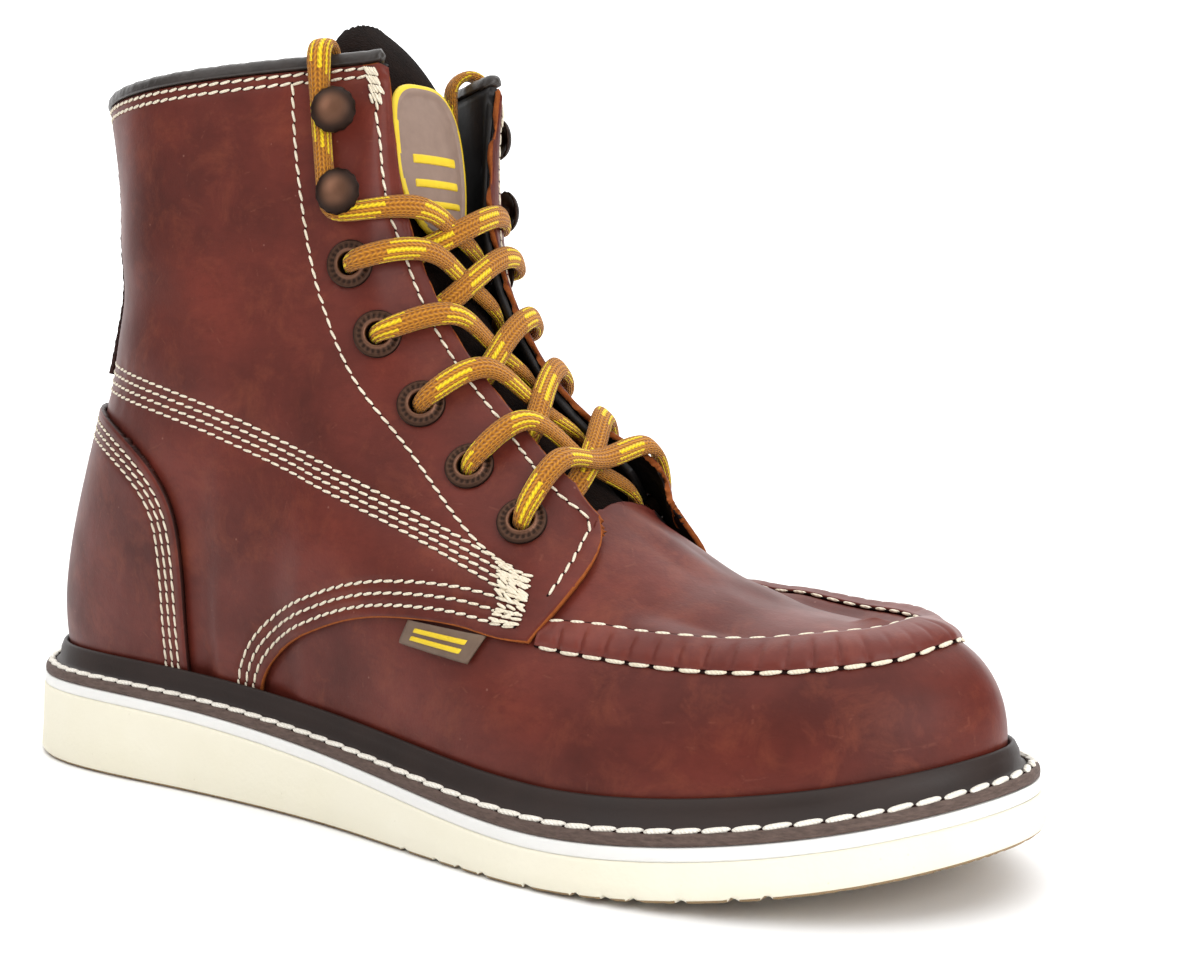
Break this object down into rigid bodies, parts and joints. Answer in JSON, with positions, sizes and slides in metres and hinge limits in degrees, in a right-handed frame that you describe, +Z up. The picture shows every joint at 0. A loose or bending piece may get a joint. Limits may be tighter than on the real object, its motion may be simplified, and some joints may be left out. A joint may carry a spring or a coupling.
{
  "type": "work boot",
  "caption": "Lace-up moc-toe leather work boot for the right foot, with wedge sole, stitched welt, eyelets, speed hooks and tongue.",
  "frame": {"origin": "on the floor under the middle of the boot's box", "axes": "+X from heel to toe, -Y to the outer side of the foot, +Z up"},
  "size_m": [0.305, 0.108, 0.2011],
  "materials": {
    "oiled_leather": "oiled pull-up leather, red-brown",
    "cream_rubber": "foamed cream rubber, matt",
    "white_rubber": "white rubber layer",
    "welt_rubber": "dark brown storm welt",
    "insole_board": "covered insole board",
    "black_binding": "black rolled binding",
    "brown_suede": "dark brown suede",
    "patch_rubber": "moulded soft rubber, taupe",
    "tab_leather": "small brown tab",
    "antique_copper": "antique copper plating",
    "lace_cord": "golden brown braided lace"
  },
  "bodies": {
    "root": {"upper": "oiled_leather", "quarter_lateral": "oiled_leather", "quarter_medial": "oiled_leather", "heel_counter": "oiled_leather", "backstay": "oiled_leather", "toe_seam": "oiled_leather", "outsole": "cream_rubber", "midsole": "white_rubber", "welt": "welt_rubber", "insole": "insole_board", "collar_binding": "black_binding", "tongue": "brown_suede", "tongue_patch": "patch_rubber", "side_tab": "tab_leather", "eyelet_lateral_1": "antique_copper", "eyelet_lateral_2": "antique_copper", "eyelet_lateral_3": "antique_copper", "eyelet_lateral_4": "antique_copper", "eyelet_lateral_5": "antique_copper", "hook_lateral_1": "antique_copper", "hook_lateral_2": "antique_copper", "lace_end_lateral": "lace_cord", "eyelet_medial_1": "antique_copper", "eyelet_medial_2": "antique_copper", "eyelet_medial_3": "antique_copper", "eyelet_medial_4": "antique_copper", "eyelet_medial_5": "antique_copper", "hook_medial_1": "antique_copper", "hook_medial_2": "antique_copper", "lace_end_medial": "lace_cord", "lace_bar": "lace_cord", "lace_cross_1": "lace_cord", "lace_cross_2": "lace_cord", "lace_cross_3": "lace_cord", "lace_cross_4": "lace_cord", "lace_cross_5": "lace_cord"}
  },
  "joints": []
}
